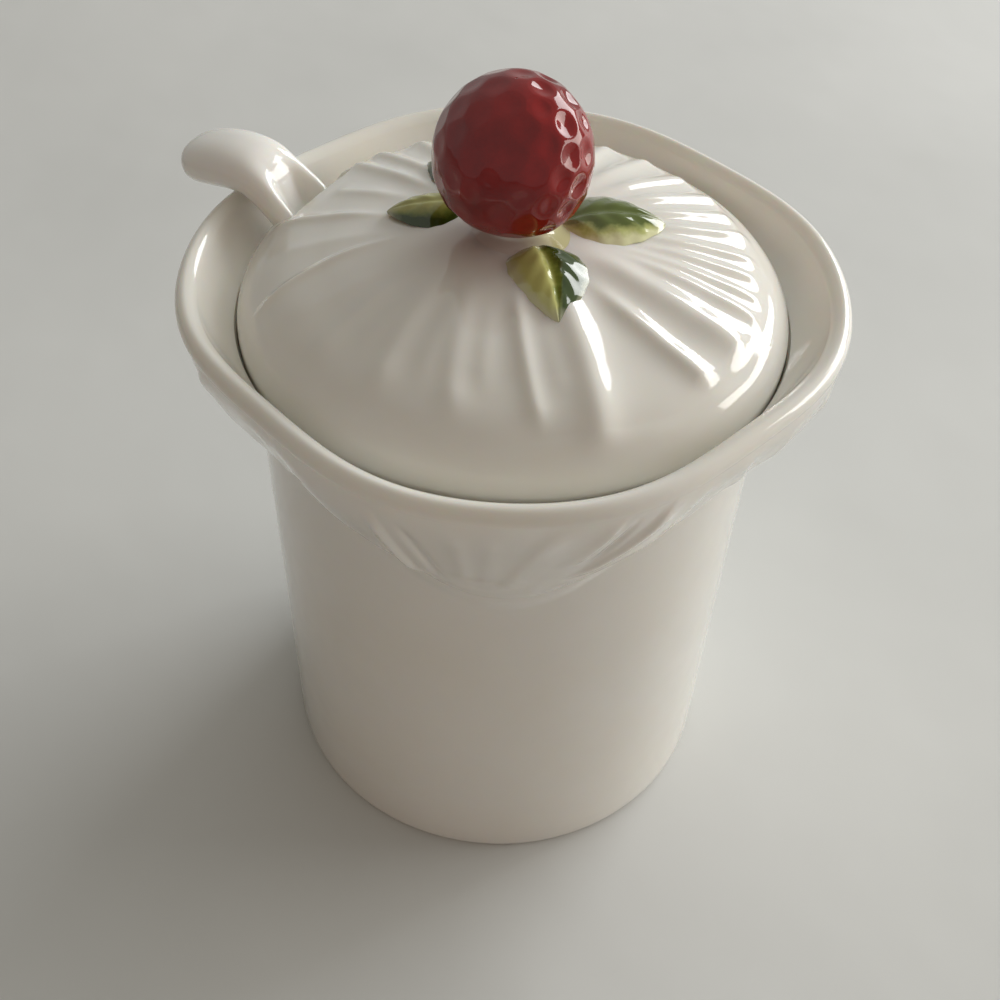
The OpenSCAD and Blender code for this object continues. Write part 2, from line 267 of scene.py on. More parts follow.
def folds(a, z):
    """Height of the pleats on the collar, in metres."""
    total = np.zeros(np.broadcast(a, z).shape)
    height = z / MM
    rise = (height - LOW_PLACE) / (HIGH_PLACE - LOW_PLACE)
    for lobe in range(LOBES):
        rng = np.random.default_rng(FOLD_SEED + lobe)
        own = 0.0 if lobe == FRONT_LOBE else 1.0
        share = LEFT_SHARE if lobe == LEFT_LOBE else SIDE_SHARE
        for high, low, tall, left, right, bottom, top in FOLDS:
            shift = own * rng.uniform(-SIDE_SHIFT, SIDE_SHIFT)
            grow = mix(1, share * rng.uniform(*SIDE_GROWTH), own)
            way = 360 / LOBES * lobe + shift + mix(low, high, rise)
            away = np.degrees(turn_between(np.radians(way), a)) * MM_PER_DEGREE
            half = np.maximum(np.where(away < 0, left, right), SIDE_HALF * own)
            reach = smooth((height - bottom) / FOLD_EASE)
            reach = reach * smooth((top + FOLD_OVER - height) / FOLD_EASE)
            total = total + tall * grow * reach * hump(away, 0, half)
    return total * MM


def hem_share(a):
    """How sharply the collar's lower edge stands out, from 0 to 1."""
    turn = np.degrees(a) % 360
    clear = np.maximum(hump(turn % (360 / LOBES), *HEM_DIP), hump(turn, *HEM_FRONT))
    share = mix(HEM_SOFT_SHARE, 1, clear) - HEM_MELT_SHARE * hump(turn, *HEM_MELT)
    return np.clip(share, HEM_LEAST_SHARE, 1)


def outside_rings(u):
    """From the middle of the foot up the body to the collar's lower edge and on to the rim."""
    root = fan(u, 0)
    edge_z = RIM_Z - collar_drop(root)
    sharp = hem_share(root)
    foot_r = BODY_R - FOOT_ROUND
    foot = line((AXIS_R, 0), (foot_r, 0), 8)[:-1] + arc((foot_r, FOOT_ROUND), FOOT_ROUND, -90, 0, 9)
    rings = [polar(r, u, z) for r, z in foot]
    below = mix(*HEM_BELOW, sharp)
    for s in np.linspace(0, 1, BODY_ROWS)[1:]:
        z = mix(FOOT_ROUND, edge_z - below, s)
        rings.append(polar(BODY_R, fan(u, 1 - smooth(s * 1.6 - 0.6)), z))
    step = mix(*HEM_STEP, sharp)
    for s in np.linspace(0, 1, HEM_ROWS)[1:]:
        rings.append(polar(BODY_R + step * smooth(s), root, edge_z + mix(-below, HEM_ABOVE, s)))
    for t in np.linspace(0, 1, COLLAR_ROWS)[1:]:
        a = fan(u, t)
        z = mix(edge_z + HEM_ABOVE, RIM_Z - LIP_FOOT, t)
        hem = (HEM_BEAD * hump(t, *BEAD_AT) - HEM_HOLLOW * hump(t, *HOLLOW_AT)) * sharp
        low = BODY_R + mix(step, COLLAR_EDGE, smooth(t / EDGE_FADE_SHARE))
        high = rim_radius(a) - mix(*UNDER_LIP, hump(np.degrees(a) % 360, *UNDER_AT))
        rings.append(polar(mix(low, high, drape(a, t)) + folds(a, z) + hem, a, z))
    return rings


def rim_rings(u):
    """Over the rolled rim and down the flare to the seat's wall."""
    rim = rim_radius(u)
    rings = []
    for q in np.radians(np.linspace(LIP_START, 90, LIP_ROWS)):
        out, up = LIP_W * (math.cos(q) - 1), LIP_H * (math.sin(q) - 1)
        rings.append(polar(rim + out, u, RIM_Z + up))
    for t in np.linspace(0, 1, RIM_ROWS)[1:]:
        rings.append(polar(rim - bezier(*RIM_BACK, t), u, RIM_Z - bezier(*RIM_FALL, t)))
    edge_r, edge_z = rim - RIM_BACK[-1], RIM_Z - RIM_FALL[-1]
    wall_z = SEAT_Z + SEAT_WALL_TOP
    for t in np.linspace(0, 1, FLARE_ROWS)[1:]:
        r = bezier(edge_r, edge_r - FLARE_IN, mix(SEAT_R, edge_r, 0.5), SEAT_R, t)
        z = bezier(edge_z, edge_z - FLARE_DOWN, SEAT_Z + FLARE_FOOT, wall_z, t)
        rings.append(polar(np.maximum(r, SEAT_R), u, z))
    return rings


def inside_outline():
    """From the seat's wall over the seat and down the bore to the floor, as points (r, z)."""
    corner = SEAT_CORNER
    return (
        line((SEAT_R, SEAT_Z + SEAT_WALL_TOP - 2 * SPACE), (SEAT_R, SEAT_Z + STEP_TOP), 3)
        + line((LEDGE_R + SPACE / 2, SEAT_Z + STEP_FOOT), (LEDGE_R, SEAT_Z + corner), 6)
        + arc((LEDGE_R - corner, SEAT_Z + corner), corner, 0, -90, 6)
        + line((LEDGE_R - corner - SPACE, SEAT_Z), (BORE_R + corner + 2 * SPACE, SEAT_Z), 8)
        + arc((BORE_R + corner, SEAT_Z - corner), corner, 90, 180, 6)
        + line((BORE_R, SEAT_Z - 2 * corner), (BORE_R, FLOOR + FLOOR_ROUND + 2 * SPACE), 40)
        + arc((BORE_R - FLOOR_ROUND, FLOOR + FLOOR_ROUND), FLOOR_ROUND, 0, -90, 12)
        + line((BORE_R - FLOOR_ROUND - 10 * SPACE, FLOOR), (AXIS_R, FLOOR), 8))


def make_pot():
    u = columns(POT_COLUMNS)
    inside = [polar(r, u, z) for r, z in inside_outline()]
    rings = outside_rings(u) + rim_rings(u) + inside
    return ring_object("pot_glazed", rings, (0, 0, 0), (0, 0, FLOOR))


# lid

LID_COLUMNS, LID_ROWS = 1440, 200
# how square the dome is, and the rounding of its lower edge and of the ring below
DOME_POWER = 2.8
EDGE_ROUND = 0.7 * MM
RING_ROUND = 0.8 * MM

# ridges between the flutes: place in degrees at NEAR_PLACE and at FAR_PLACE mm from the middle,
# height share, half width in mm, start and end in mm from the middle
NEAR_PLACE, FAR_PLACE = 20, 34
RIDGES = [
    (3.5, 3.5, 0.7, 1.1, 18, 35), (12, 14, 0.8, 1.2, 18, 35.5), (22, 22, 0.8, 1.2, 18, 35),
    (32, 31, 0.9, 1.2, 18, 35.5), (43, 42, 0.9, 1.3, 18, 35), (54, 54, 0.9, 1.3, 18, 35),
    (66, 66, 0.9, 1.3, 18, 35), (79, 79, 0.9, 1.3, 18, 35), (92, 92, 0.9, 1.3, 18, 35),
    (105, 105, 0.9, 1.3, 18, 35), (118, 118, 1.0, 1.3, 18, 35.5), (129, 130, 1.0, 1.2, 18, 36),
    (139, 138, 1.0, 1.2, 18, 36), (152, 154, 0.6, 1.2, 20, 31), (167, 168.5, 0.7, 0.9, 22, 37),
    (181, 182, 0.25, 1.3, 20, 34), (188, 197.5, 0.75, 0.7, 21, 37.6),
    (207, 208.5, 0.25, 1.5, 20, 34), (217, 221.5, 0.5, 1.4, 19, 35),
    (227, 230.5, 0.35, 1.4, 18, 31), (233, 240, 0.75, 1.6, 17, 35),
    (245, 249, 0.45, 1.4, 17, 32), (251, 258, 0.8, 1.5, 17, 35.2), (261, 265, 0.4, 1.3, 18, 31),
    (273, 276.5, 0.95, 1.1, 16, 35.4), (282, 283, 0.25, 1.3, 20, 31),
    (293, 289.2, 1.8, 2.3, 15, 38.5), (314, 316.5, 1.3, 1.5, 18, 35.8),
    (331, 330.5, 1.55, 2.4, 14, 36), (342.5, 341.5, 0.85, 1.2, 18, 36),
    (349, 348.5, 0.6, 1.1, 17, 35.8), (356, 356, 0.65, 1.1, 19, 35)]
# ridges in general and at the front, where they run out later and are wider: middle and half
# width of the front in degrees, then in mm how long they take to end, and their spread
FRONT_AT = (250, 30)
RIDGE_END_EASE, RIDGE_SPREAD = (2.2, 6), (1.45, 1.8)
# all ridges: how far before their start they begin and how long they take, their height in mm and
# how fast their flanks fall
RIDGE_LEAD, RIDGE_START_EASE = 6, 10
RIDGE_HEIGHT, RIDGE_POWER = 0.72, 1.7
# hollows between the ridges, in mm from the middle: where they start, get shallower and end, each
# with the length that it takes, then their depth, and where in degrees they are deeper
HOLLOW_START, HOLLOW_START_EASE = 9, 12
SHALLOW_START, SHALLOW_EASE, SHALLOW_SHARE = 27, 8, 0.28
HOLLOW_END, HOLLOW_END_EASE = 35.5, 2.2
HOLLOW_DEPTH = 0.85
DEEPER_AT, DEEPER_SHARE = (312, 22), 0.6


def dome(r):
    share = np.minimum(r, LID_R) / LID_R
    full = DOME_RISE / math.sqrt(1 - (CROWN_R / LID_R) ** DOME_POWER)
    height = full * np.sqrt(np.maximum(0, 1 - share ** DOME_POWER))
    return np.minimum(CROWN_Z, BAND_Z + height)


def relief(turn, r):
    """Height of the ridges less the depth of the hollows between them, in metres."""
    reach = r / MM
    wobble = 0.35 * np.sin(7 * turn + 1.3) * np.sin(3 * turn) + 0.25 * np.sin(19 * turn)
    soft = smooth((reach - HOLLOW_START) / HOLLOW_START_EASE)
    soft = soft * mix(1, SHALLOW_SHARE, smooth((reach - SHALLOW_START) / SHALLOW_EASE))
    deep = 1 + DEEPER_SHARE * hump(np.degrees(turn) % 360, *DEEPER_AT)
    inner = 1 - smooth((reach - HOLLOW_END - wobble) / HOLLOW_END_EASE)
    total = -HOLLOW_DEPTH * deep * soft * inner
    for near, far, tall, width, start, end in RIDGES:
        way = np.radians(mix(near, far, (reach - NEAR_PLACE) / (FAR_PLACE - NEAR_PLACE)))
        away = turn_between(way, turn) * reach
        front = hump(far, *FRONT_AT)
        window = smooth((reach - start + RIDGE_LEAD) / RIDGE_START_EASE)
        window = window * smooth((end + front - reach) / mix(*RIDGE_END_EASE, front))
        wide = mix(*RIDGE_SPREAD, front) * width
        total = total + RIDGE_HEIGHT * tall * window / (1 + (away / wide) ** 2) ** RIDGE_POWER
    return total * MM


def under_outline():
    """From the lid's band round the seat and the ring to the ceiling, as points (r, z)."""
    foot_z = SEAT_Z - RING_H
    ring_z = foot_z + RING_ROUND
    ceiling = [
        (CAVITY_R * s, dome(CAVITY_R * s) - SHELL - SHELL * 0.5 * s ** 6)
        for s in np.cos(np.radians(np.linspace(8, 88, 40)))]
    return (
        line((LID_R, BAND_Z - 3 * SPACE), (LID_R, SEAT_Z + EDGE_ROUND + SPACE), 6)
        + arc((LID_R - EDGE_ROUND, SEAT_Z + EDGE_ROUND), EDGE_ROUND, 0, -90, 7)
        + line((LID_R - EDGE_ROUND - 4 * SPACE, SEAT_Z), (RING_R + 2 * SPACE, SEAT_Z), 8)
        + line((RING_R, SEAT_Z - 3 * SPACE), (RING_R, ring_z + SPACE), 5)
        + arc((RING_R - RING_ROUND, ring_z), RING_ROUND, 0, -90, 6)
        + arc((CAVITY_R + RING_ROUND, ring_z), RING_ROUND, -90, -180, 6)
        + line((CAVITY_R, ring_z + 4 * SPACE), (CAVITY_R, ceiling[0][1] - 10 * SPACE), 8)
        + ceiling)


def lid_blank():
    a = columns(LID_COLUMNS)
    q = np.linspace(0.02, 1, LID_ROWS)
    r = LID_R * (1 - (1 - q) ** 1.8)
    top = polar(r[:, None], a[None], dome(r)[:, None] + relief(a[None], r[:, None]))
    rings = list(top) + [polar(x, a, z) for x, z in under_outline()]
    return ring_object("lid_glazed", rings, (0, 0, CROWN_Z), (0, 0, CROWN_Z - SHELL))


def hook_place(out, up):
    return BORE_R + HOOK_REACH * out, SEAT_Z + SEAT_DEPTH * up


# outline of the notch in shares of the hook, as in the construction
NOTCH_BACK_SHARE, NOTCH_FOOT_SHARE = -0.067, -0.295
NOTCH_SHARES = [
    (NOTCH_FOOT_SHARE, -1.5), (NOTCH_FOOT_SHARE, 0.29), (NOTCH_BACK_SHARE, 0.94),
    (NOTCH_BACK_SHARE, 4), (0.7, 4), (0.7, -1.5)]
# the cutter's grain, and the softening of the notch's edges: how near to its walls, how often,
# and the radii outside which the notch and its upper back wall lie
CUTTER_GRAIN = 0.5 * MM
SOFT_REACH, SOFT_ROUNDS = 1.1 * MM, 14
SOFT_OUTSIDE = 1.2 * MM
NOTCH_R, NOTCH_BACK_R = 26 * MM, 31 * MM
WELD = 0.02 * MM


def notch_cutter():
    outline = [hook_place(*p) for p in NOTCH_SHARES]
    points = [(r, side * NOTCH_HALF, z) for side in (-1, 1) for r, z in outline]
    n = len(outline)
    faces = [[i, (i + 1) % n, n + (i + 1) % n, n + i] for i in range(n)]
    faces += [list(range(n))[::-1], list(range(n, 2 * n))]
    cutter = mesh_object("notch_cutter", points, faces)
    cutter.data.transform(Matrix.Rotation(NOTCH_TURN, 4, "Z"))
    face_out(cutter)
    remesh = cutter.modifiers.new("fine", "REMESH")
    remesh.mode = "VOXEL"
    remesh.voxel_size = CUTTER_GRAIN
    return cutter


def apply_modifiers(obj):
    graph = bpy.context.evaluated_depsgraph_get()
    mesh = bpy.data.meshes.new_from_object(obj.evaluated_get(graph))
    obj.modifiers.clear()
    old = obj.data
    obj.data = mesh
    bpy.data.meshes.remove(old)


def near_notch(p):
    """How far a point lies from the walls of the notch, roughly, or a metre if far away."""
    c, s = math.cos(NOTCH_TURN), math.sin(NOTCH_TURN)
    out = p.x * c + p.y * s
    side = abs(-p.x * s + p.y * c)
    if out < NOTCH_R or side > NOTCH_HALF + SOFT_OUTSIDE:
        return 1.0
    back = abs(out - hook_place(NOTCH_BACK_SHARE, 0)[0])
    return min(abs(side - NOTCH_HALF), back if out > NOTCH_BACK_R else 0)


def make_lid():
    lid = lid_blank()
    cutter = notch_cutter()
    cut = lid.modifiers.new("notch", "BOOLEAN")
    cut.operation = "DIFFERENCE"
    cut.solver = "EXACT"
    cut.object = cutter
    apply_modifiers(lid)
    bpy.data.objects.remove(cutter)
    bm = bmesh.new()
    bm.from_mesh(lid.data)
    bmesh.ops.remove_doubles(bm, verts=bm.verts, dist=WELD)
    soft = [v for v in bm.verts if near_notch(v.co) < SOFT_REACH]
    for _ in range(SOFT_ROUNDS):
        bmesh.ops.smooth_vert(
            bm, verts=soft, factor=0.5, use_axis_x=True, use_axis_y=True, use_axis_z=True)
    for f in bm.faces:
        f.smooth = True
    bm.to_mesh(lid.data)
    bm.free()
    return lid


# stalk

STALK_COLUMNS, STALK_ROWS = 200, 36
# the glaze pools at the foot, and the neck is slimmer below the berry
FOOT_POOL, NECK_LESS = 0.6 * MM, 0.5 * MM
# small petals at the foot: turn in degrees and share of PETAL_OUT, with their half width as a turn
PETALS = ((285, 0.3), (328, 1.3), (10, 0.8), (160, 0.4))
PETAL_OUT, PETAL_HALF = 1.3 * MM, 0.5


def make_stalk():
    a = columns(STALK_COLUMNS)
    bulge = sum(
        share * hump(turn_between(math.radians(turn), a), 0, PETAL_HALF) for turn, share in PETALS)
    rings = []
    for s in np.linspace(0, 1, STALK_ROWS):
        neck = mix(STALK_FOOT_R + FOOT_POOL, STALK_TOP_R - NECK_LESS, 1 - (1 - s) ** 7)
        spread = PETAL_OUT * bulge * (1 - s) ** 3
        rings.append(polar(neck + spread, a, CROWN_Z + STALK_H * s - STALK_SINK * (1 - s) ** 8))
    foot, top = (0, 0, CROWN_Z - STALK_SINK), (0, 0, STALK_TOP_Z)
    return ring_object("stalk_glazed", rings, foot, top)


# berry

BERRY_COLUMNS, BERRY_ROWS = 400, 220
BERRY_TOP_TILT = 0.012
BERRY_STRETCH = (1, 1.02, 1.03)
# the berry keeps this much inside the solid, more at its seat, and reaches this far into the stalk
BERRY_INSET, SEAT_INSET, BERRY_SINK = 0.02 * MM, 0.05 * MM, 0.9 * MM
# dimples: their number and seeds, how far a place is shaken, the size of each as a turn, the turn
# at which the flats between them start, and the depth of their pits
DIMPLES, PLACE_SEED, SIZE_SEED = 100, 11, 5
DIMPLE_SHAKE, DIMPLE_SIZE, FLAT_TURN = 0.035, (0.13, 0.165), 0.19
PIT_DEPTH, PIT_POWER = 0.3 * MM, 1.4
# the relief is crisp at the right and softer at the left, down to these shares
CRISP_LEAST_SHARE, FLAT_LEAST_SHARE = 0.25, 0.4
# tilts over which the relief and the lean come in above the seat
RELIEF_FADE, LEAN_FADE = 0.25, 0.7


def dimple_places():
    """Evenly spread points on a sphere, slightly shaken."""
    rng = np.random.default_rng(PLACE_SEED)
    k = np.arange(DIMPLES) + 0.5
    z = 1 - 2 * k / DIMPLES
    a = k * math.pi * (3 - math.sqrt(5))
    p = np.stack([np.sqrt(1 - z * z) * np.cos(a), np.sqrt(1 - z * z) * np.sin(a), z], 1)
    p += rng.normal(0, DIMPLE_SHAKE, p.shape)
    return p / np.linalg.norm(p, axis=1, keepdims=True)


def berry_radius(way):
    """Radius of the dimpled berry in each of the directions."""
    places = dimple_places()
    near = np.arccos(np.clip(np.tensordot(way, places.T, 1), -1, 1))
    rng = np.random.default_rng(SIZE_SEED)
    x = near / rng.uniform(*DIMPLE_SIZE, DIMPLES)
    pit = np.where(x < 1, (1 - np.minimum(x, 1) ** 2) ** PIT_POWER, 0).max(-1)
    flat = np.minimum(1, (math.cos(FLAT_TURN) / np.cos(np.minimum(near, 1))).min(-1))
    crisp = smooth((way[..., 0] + 0.35 * way[..., 1] + 0.1) / 0.6)
    crisp = mix(CRISP_LEAST_SHARE, 1, crisp)
    ball = BERRY_R * mix(1, flat, mix(FLAT_LEAST_SHARE, 1, crisp))
    return ball - BERRY_INSET - PIT_DEPTH * pit * crisp


def make_berry():
    low = math.acos(-BERRY_SEAT_SHARE)
    a = columns(BERRY_COLUMNS)
    tilt = np.linspace(low, BERRY_TOP_TILT, BERRY_ROWS)
    way = polar(np.sin(tilt)[:, None], a, np.cos(tilt)[:, None])
    r = mix(BERRY_R - SEAT_INSET, berry_radius(way), smooth((low - tilt) / RELIEF_FADE)[:, None])
    lean = np.array(BERRY_LEAN) * smooth((low - tilt) / LEAN_FADE)[:, None, None]
    rings = way * r[..., None] * np.array(BERRY_STRETCH) + lean + np.array([0, 0, BERRY_Z])
    rings[:, :, 2] = np.maximum(rings[:, :, 2], STALK_TOP_Z - BERRY_SINK)
    rings = np.concatenate([[rings[0] * [0.5, 0.5, 1]], rings])
    top = (BERRY_LEAN[0], BERRY_LEAN[1], BERRY_Z + BERRY_LEAN[2] + r[-1].mean())
    return ring_object("berry_glazed", rings, (0, 0, rings[0][0][2]), top)


# leaves: base, tip and width as shares of the lid's radius, and how early the leaf is widest

LEAVES = {
    "leaf_front": ((0.07, -0.115), (0.15, -0.478), 0.285, 0.56),
    "leaf_right": ((0.155, 0.045), (0.53, 0.118), 0.32, 0.85),
    "leaf_back": ((-0.06, 0.195), (-0.345, 0.465), 0.19, 0.85),
    "leaf_left": ((-0.178, 0.135), (-0.465, 0.103), 0.225, 0.85),
}
LEAF_COLUMNS, LEAF_ROWS = 96, 110
LEAF_END_SHARE = 0.012
# teeth along the edge and veins across: how many, their slant and their depth, then the bend of the
# leaf, its midrib and how full it is
TEETH, TEETH_SHARE = 5.5, 0.03
VEINS, VEIN_SLANT, VEIN_SHARE = 4.5, 1.6, 0.04
BEND_SHARE = 0.12
RIB_SHARE, RIB_HALF_SHARE = 0.22, 0.12
PUFF_SHARE, PUFF_POWER = 0.86, 2.1
LEAF_BELOW = 0.2 * MM


def leaf_width(t, early):
    return np.sin(math.pi * t ** early) ** 0.75


def leaf_puff(s, t):
    """Height of the leaf's upper side across it, as a share, with veins and midrib."""
    out = np.abs(s)
    veins = VEIN_SHARE * np.cos(2 * math.pi * (VEINS * t - VEIN_SLANT * out))
    veins = veins * smooth(out / 0.25) * smooth((1 - out) / 0.3)
    pillow = np.sqrt(np.maximum(0, 1 - s * s)) ** PUFF_POWER
    return pillow * (1 + veins) - RIB_SHARE * hump(s, 0, RIB_HALF_SHARE)


def make_leaf(name):
    base, tip, width, early = LEAVES[name]
    base, tip = LID_R * np.array(base), LID_R * np.array(tip)
    way = tip - base
    side = np.array([-way[1], way[0]]) / np.linalg.norm(way)
    half = width * LID_R / 2
    q = columns(LEAF_COLUMNS)
    s = -np.cos(q)
    lower = -LEAF_BELOW * np.sqrt(np.maximum(0, 1 - s * s))
    rings, marks = [], []
    for t in np.linspace(LEAF_END_SHARE, 1 - LEAF_END_SHARE, LEAF_ROWS):
        teeth = 1 - TEETH_SHARE * math.sin(math.pi * TEETH * t ** 0.9) ** 2
        w = half * leaf_width(t, early) * teeth
        bend = half * BEND_SHARE * math.sin(math.pi * t)
        along = np.full(LEAF_COLUMNS, t)
        p = base + np.outer(along, way) + np.outer(w * s + bend, side)
        ground = dome(np.hypot(p[:, 0], p[:, 1])) - LEAF_SINK
        puff = PUFF_SHARE * LEAF_T * leaf_width(t, early) ** 0.8 * leaf_puff(s, t)
        rings.append(np.column_stack([p, ground + np.where(np.sin(q) >= 0, puff, lower)]))
        marks.append(np.column_stack([s, along]))
    ends = [(*base, dome(np.linalg.norm(base))), (*tip, dome(np.linalg.norm(tip)))]
    leaf = ring_object(name + "_glazed", rings, *ends)
    places = np.vstack([np.concatenate(marks), [[0, 0]], [[0, 1]]])
    layer = leaf.data.uv_layers.new(name="across_along")
    index = np.zeros(len(leaf.data.loops), int)
    leaf.data.loops.foreach_get("vertex_index", index)
    layer.data.foreach_set("uv", (places[index] * [0.5, 1] + [0.5, 0]).ravel())
    return leaf


# spoon: each row is reach and height, then width, thickness and dish, in shares like those of the
# construction

HOOK_ROWS = [
    (1.049, 1.139, 0.34, 0.36, 0), (1.026, 1.048, 0.6, 0.62, 0),
    (0.959, 0.995, 0.9, 0.84, 0), (0.864, 0.985, 1.03, 0.97, 0),
    (0.712, 1.02, 1.06, 1.03, 0), (0.56, 1.05, 1.05, 1.02, 0), (0.427, 1.03, 1.03, 0.98, 0.02),
    (0.313, 0.91, 1.02, 0.92, 0.12), (0.199, 0.737, 1.06, 0.88, 0.36),
    (0.085, 0.528, 1.1, 0.86, 0.52), (-0.029, 0.247, 1.06, 0.8, 0.46),
    (-0.124, -0.006, 0.9, 0.71, 0.26), (-0.19, -0.306, 0.8, 0.7, 0.1),
    (-0.247, -0.728, 0.72, 0.68, 0)]
SHANK_ROWS = [
    (0.7, 0.855, 0.64, 0.64, 0), (0.6, 0.724, 0.58, 0.6, 0), (0.5, 0.592, 0.55, 0.58, 0),
    (0.4, 0.461, 0.56, 0.6, 0), (0.352, 0.397, 0.64, 0.64, 0)]
BOWL_ROWS = [
    (0.325, 0.362, 0.54, 0.44, 0.05), (0.3, 0.329, 0.72, 0.62, 0.34),
    (0.272, 0.292, 0.88, 0.8, 0.72), (0.245, 0.255, 0.97, 0.93, 0.94), (0.22, 0.217, 1, 1, 1),
    (0.197, 0.18, 0.98, 0.98, 1), (0.177, 0.145, 0.9, 0.87, 0.9),
    (0.16, 0.114, 0.74, 0.68, 0.66), (0.147, 0.091, 0.48, 0.42, 0.26)]
SPOON_COLUMNS, STEPS_PER_ROW = 112, 8
# the section is a rounded oval, and a dish power above one stands for the handle's flat gutter
OVAL_POWER = 0.85
HANDLE_DISH_POWER, BOWL_DISH_POWER = 1.2, 0.65
GUTTER_HALF_SHARE, GUTTER_EASE_SHARE = 0.78, 0.55
BOWL_DISH_SHARE = 0.78


def spoon_rows():
    """Reach, height, half width, thickness above and below, depth and power of the dish."""
    rows = []
    for out, up, wide, thick, dish in HOOK_ROWS:
        r, z = hook_place(out, up)
        half = HANDLE_T * thick / 2
        depth = HANDLE_T * dish
        rows.append((r, z + half, HANDLE_W * wide / 2, half, half, depth, HANDLE_DISH_POWER))
    for out, up, wide, thick, dish in SHANK_ROWS:
        r, z = BODY_R * out, SEAT_Z * up
        half = HANDLE_T * thick / 2
        rows.append((r, z, HANDLE_W * wide / 2, half, half, HANDLE_T * dish, HANDLE_DISH_POWER))
    for out, up, wide, deep, dish in BOWL_ROWS:
        r, z = BODY_R * out, SEAT_Z * up
        edge = SHANK_T * (0.12 + 0.3 * (1 - dish))
        depth = BOWL_D * BOWL_DISH_SHARE * dish
        rows.append((r, z, BOWL_W * wide / 2, edge, BOWL_D * deep, depth, BOWL_DISH_POWER))
    return np.array(rows)


def flowing(rows):
    """Rows between the given ones, on a smooth curve through them."""
    ends = np.vstack([2 * rows[0] - rows[1], rows, 2 * rows[-1] - rows[-2]])
    out = []
    for k in range(1, len(ends) - 2):
        p0, p1, p2, p3 = ends[k - 1:k + 3]
        for t in np.arange(STEPS_PER_ROW) / STEPS_PER_ROW:
            bend = (2 * p0 - 5 * p1 + 4 * p2 - p3) * t ** 2 + (3 * p1 - p0 - 3 * p2 + p3) * t ** 3
            out.append(0.5 * (2 * p1 + (p2 - p0) * t + bend))
    return np.array(out + [ends[-2]])


def make_spoon():
    rows = flowing(spoon_rows())
    q = columns(SPOON_COLUMNS)
    across, rise = (np.sign(v) * np.abs(v) ** OVAL_POWER for v in (np.cos(q), np.sin(q)))
    rings = []
    for k, (r, z, half, above, below, depth, power) in enumerate(rows):
        way = rows[min(k + 1, len(rows) - 1), :2] - rows[max(k - 1, 0), :2]
        way = way / np.linalg.norm(way)
        dish = depth * np.maximum(0, 1 - across ** 2) ** power
        if power > 1:
            dish = depth * smooth((GUTTER_HALF_SHARE - np.abs(across)) / GUTTER_EASE_SHARE)
        h = np.where(np.sin(q) > 0, dish - above * rise, -below * rise)
        rings.append(np.column_stack([r - way[1] * h, half * across, z + way[0] * h]))
    first = (rows[0, 0] + HANDLE_T * 0.06, 0, rows[0, 1])
    last = (rows[-1, 0] - BOWL_D * 0.15, 0, rows[-1, 1] - BOWL_D * 0.06)
    spoon = ring_object("spoon_glazed", rings, first, last)
    spoon.data.transform(Matrix.Rotation(SPOON_TURN, 4, "Z"))
    return spoon


# materials

OFF, ON = (0, 0, 0), (1, 1, 1)
# each glaze has its main colour and a warmer one
IVORY = ((0.885, 0.87, 0.82), (0.86, 0.835, 0.765))
# the spoon wears the ivory glaze made lighter: painted light for the brighter light on its handle
SPOON_IVORY_PAINTED_LIGHT = ((0.91, 0.9, 0.865), (0.89, 0.87, 0.82))
SPECK = (0.16, 0.11, 0.07)
BERRY_REDS = ((0.16, 0.002, 0.002), (0.24, 0.004, 0.003), (0.32, 0.009, 0.007))
STALK_CREAM, STALK_PALE, STALK_YELLOW = (0.87, 0.845, 0.78), (0.8, 0.78, 0.62), (0.7, 0.68, 0.34)
# pinkish brown painted shade for the shade under the berry, in patches on the stalk
STALK_PAINTED_SHADE = (0.42, 0.2, 0.12)
LEAF_PALE = (0.68, 0.67, 0.48)
PAPER = ((0.66, 0.67, 0.66), (0.72, 0.73, 0.72))
# leaf paints: light, middle and dark green, the share of pale at the edge of the light half and of
# pale painted highlight at the edge of the dark half, and the shift of the paint across the leaf
PAINTS = {
    # the pale at the edge of the front leaf's dark half is a painted highlight
    "leaf_front": ((0.62, 0.63, 0.22), (0.26, 0.33, 0.06), (0.04, 0.07, 0.008), 0.6, 0.5, -0.04),
    "leaf_right": ((0.8, 0.81, 0.48), (0.5, 0.54, 0.18), (0.1, 0.14, 0.012), 1, 0, 0.32),
    "leaf_back": ((0.42, 0.42, 0.12), (0.2, 0.25, 0.045), (0.04, 0.07, 0.008), 0.3, 0, 0),
    "leaf_left": ((0.42, 0.42, 0.12), (0.2, 0.25, 0.045), (0.04, 0.07, 0.008), 0.2, 0, -0.3),
}


